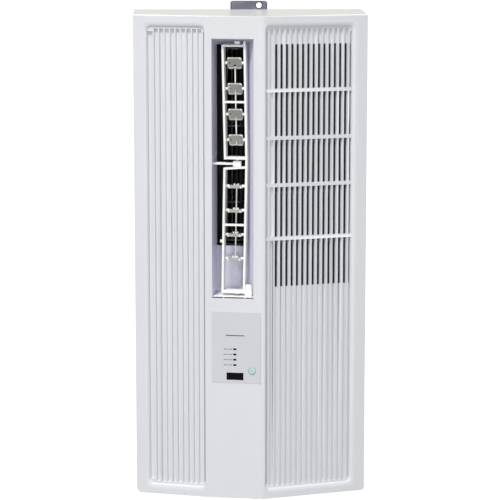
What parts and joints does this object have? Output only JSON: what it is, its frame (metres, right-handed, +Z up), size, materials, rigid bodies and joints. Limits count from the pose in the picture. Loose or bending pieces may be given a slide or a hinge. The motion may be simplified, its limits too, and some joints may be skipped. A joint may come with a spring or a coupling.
{
  "type": "window air conditioner",
  "caption": "Tall window air conditioner with a ribbed white front, a vertical air outlet with tilting louver vanes, an intake grille and a top fixing bracket.",
  "frame": {"origin": "on the ground under the base pan, at the middle of the cabinet's width and depth", "axes": "+Z up along the height, -Y towards the room through the front panel, +X to the right as seen from the room"},
  "size_m": [0.3632, 0.2451, 0.7697],
  "materials": {
    "panel_plastic": "fine moulded texture, cool white",
    "cover_plastic": "fine moulded texture, warm white",
    "painted_sheet": "satin off-white paint on sheet steel",
    "galvanised": "galvanised sheet",
    "zinc_plate": "zinc-plated pressed steel",
    "screw_zinc": "zinc-plated screws",
    "grille_plastic": "off-white moulded grille",
    "foam": "closed-cell foam strip",
    "duct_plastic": "lavender-grey moulded duct",
    "louver_plastic": "white polypropylene with a soft sheen",
    "vane_plastic": "warm grey moulded vanes",
    "black_plastic": "black moulded plastic",
    "filter_mesh": "dark woven filter mesh",
    "fin_aluminium": "thin pressed fins",
    "copper": "copper tube, lightly oxidised",
    "motor_steel": "zinc-coated motor can",
    "compressor_paint": "black baked enamel",
    "mount_rubber": "black rubber",
    "insulation": "moulded insulation panel",
    "label_film": "matt printed label film",
    "dark_lens": "smoked acrylic",
    "button_mint": "pale mint translucent button",
    "circuit_board": "green solder mask",
    "capacitor_can": "drawn aluminium can"
  },
  "bodies": {
    "cabinet": {"front_panel": "panel_plastic", "top_cover": "cover_plastic", "housing": "painted_sheet", "base_pan": "galvanised", "outdoor_case": "painted_sheet", "rear_grille": "grille_plastic", "frame_gasket": "foam", "top_bracket": "zinc_plate", "bracket_screws": "screw_zinc", "case_screws": "screw_zinc", "outlet_duct": "duct_plastic", "outlet_sill": "louver_plastic", "louver_cross_bar": "louver_plastic", "upper_pivot_block": "louver_plastic", "swing_motor_cover": "louver_plastic", "swing_motor": "motor_steel", "scroll_casing": "black_plastic", "blower_bearing": "black_plastic", "blower_motor": "motor_steel", "evaporator_fins": "fin_aluminium", "evaporator_tubes": "copper", "drain_pan": "insulation", "mid_wall": "insulation", "condenser_fins": "fin_aluminium", "condenser_tubes": "copper", "fan_shroud": "black_plastic", "condenser_fan_motor": "motor_steel", "motor_bracket": "galvanised", "compressor": "compressor_paint", "compressor_mounts": "mount_rubber", "accumulator": "compressor_paint", "refrigerant_pipes": "copper", "control_label": "label_film", "indicator_lenses": "dark_lens", "receiver_window": "dark_lens", "display_board": "circuit_board", "control_box": "galvanised", "control_board": "circuit_board", "run_capacitor": "capacitor_can"},
    "louver": {"louver_frame": "louver_plastic"},
    "upper_vane_1_body": {"upper_vane_1": "vane_plastic"},
    "upper_vane_2_body": {"upper_vane_2": "vane_plastic"},
    "upper_vane_3_body": {"upper_vane_3": "vane_plastic"},
    "upper_vane_4_body": {"upper_vane_4": "vane_plastic"},
    "upper_rod": {"upper_link_rod": "louver_plastic"},
    "lower_vane_1_body": {"lower_vane_1": "vane_plastic"},
    "lower_vane_2_body": {"lower_vane_2": "vane_plastic"},
    "lower_vane_3_body": {"lower_vane_3": "vane_plastic"},
    "lower_vane_4_body": {"lower_vane_4": "vane_plastic"},
    "lower_rod": {"lower_link_rod": "louver_plastic"},
    "blower": {"blower_wheel": "black_plastic"},
    "fan": {"condenser_fan": "black_plastic"},
    "filter": {"air_filter": "filter_mesh"},
    "button": {"power_button": "button_mint"}
  },
  "joints": [
    {"name": "louver_swing", "type": "hinge", "parent": "cabinet", "child": "louver", "pos_m": [-0.02126, -0.09893, 0.527], "axis": [0, 0, 1], "range_deg": [-25, 20]},
    {"name": "upper_vane_1_tilt", "type": "hinge", "parent": "louver", "child": "upper_vane_1_body", "pos_m": [-0.02517, -0.09713, 0.6794], "axis": [0.9806, -0.1961, 0], "range_deg": [0, 90]},
    {"name": "upper_vane_2_tilt", "type": "hinge", "parent": "louver", "child": "upper_vane_2_body", "pos_m": [-0.02446, -0.09727, 0.6403], "axis": [0.9806, -0.1961, 0], "range_deg": [0, 90]},
    {"name": "upper_vane_3_tilt", "type": "hinge", "parent": "louver", "child": "upper_vane_3_body", "pos_m": [-0.02375, -0.09741, 0.6012], "axis": [0.9806, -0.1961, 0], "range_deg": [0, 90]},
    {"name": "upper_vane_4_tilt", "type": "hinge", "parent": "louver", "child": "upper_vane_4_body", "pos_m": [-0.02303, -0.09756, 0.5621], "axis": [0.9806, -0.1961, 0], "range_deg": [0, 90]},
    {"name": "upper_rod_pivot", "type": "hinge", "parent": "upper_vane_1_body", "child": "upper_rod", "pos_m": [-0.02439, -0.09321, 0.67247], "axis": [0.9806, -0.1961, 0], "range_deg": [-90, 0]},
    {"name": "lower_vane_1_tilt", "type": "hinge", "parent": "louver", "child": "lower_vane_1_body", "pos_m": [-0.02352, -0.09746, 0.4909], "axis": [0.9806, -0.1961, 0], "range_deg": [-60, 30]},
    {"name": "lower_vane_2_tilt", "type": "hinge", "parent": "louver", "child": "lower_vane_2_body", "pos_m": [-0.02422, -0.09732, 0.4534], "axis": [0.9806, -0.1961, 0], "range_deg": [-60, 30]},
    {"name": "lower_vane_3_tilt", "type": "hinge", "parent": "louver", "child": "lower_vane_3_body", "pos_m": [-0.02492, -0.09718, 0.4159], "axis": [0.9806, -0.1961, 0], "range_deg": [-60, 30]},
    {"name": "lower_vane_4_tilt", "type": "hinge", "parent": "louver", "child": "lower_vane_4_body", "pos_m": [-0.02562, -0.09704, 0.3784], "axis": [0.9806, -0.1961, 0], "range_deg": [-60, 30]},
    {"name": "lower_rod_pivot", "type": "hinge", "parent": "lower_vane_1_body", "child": "lower_rod", "pos_m": [-0.02195, -0.08962, 0.4909], "axis": [0.9806, -0.1961, 0], "range_deg": [-30, 60]},
    {"name": "blower_spin", "type": "hinge", "parent": "cabinet", "child": "blower", "pos_m": [-0.0224, -0.02, 0.55], "axis": [0, 0, 1], "continuous": true},
    {"name": "fan_spin", "type": "hinge", "parent": "cabinet", "child": "fan", "pos_m": [-0.02, 0.078, 0.48], "axis": [0, 1, 0], "continuous": true},
    {"name": "filter_slide", "type": "slide", "parent": "cabinet", "child": "filter", "axis": [0.957, 0.29, 0], "range_m": [0, 0.16]},
    {"name": "button_press", "type": "slide", "parent": "cabinet", "child": "button", "axis": [0.1961, 0.9806, 0], "range_m": [0, 0.001], "stiffness_N_per_m": 1200}
  ],
  "couplings": [
    {"joint": "upper_vane_2_tilt", "follows": "upper_vane_1_tilt", "ratio": 1},
    {"joint": "upper_vane_3_tilt", "follows": "upper_vane_1_tilt", "ratio": 1},
    {"joint": "upper_vane_4_tilt", "follows": "upper_vane_1_tilt", "ratio": 1},
    {"joint": "upper_rod_pivot", "follows": "upper_vane_1_tilt", "ratio": -1},
    {"joint": "lower_vane_2_tilt", "follows": "lower_vane_1_tilt", "ratio": 1},
    {"joint": "lower_vane_3_tilt", "follows": "lower_vane_1_tilt", "ratio": 1},
    {"joint": "lower_vane_4_tilt", "follows": "lower_vane_1_tilt", "ratio": 1},
    {"joint": "lower_rod_pivot", "follows": "lower_vane_1_tilt", "ratio": -1}
  ]
}
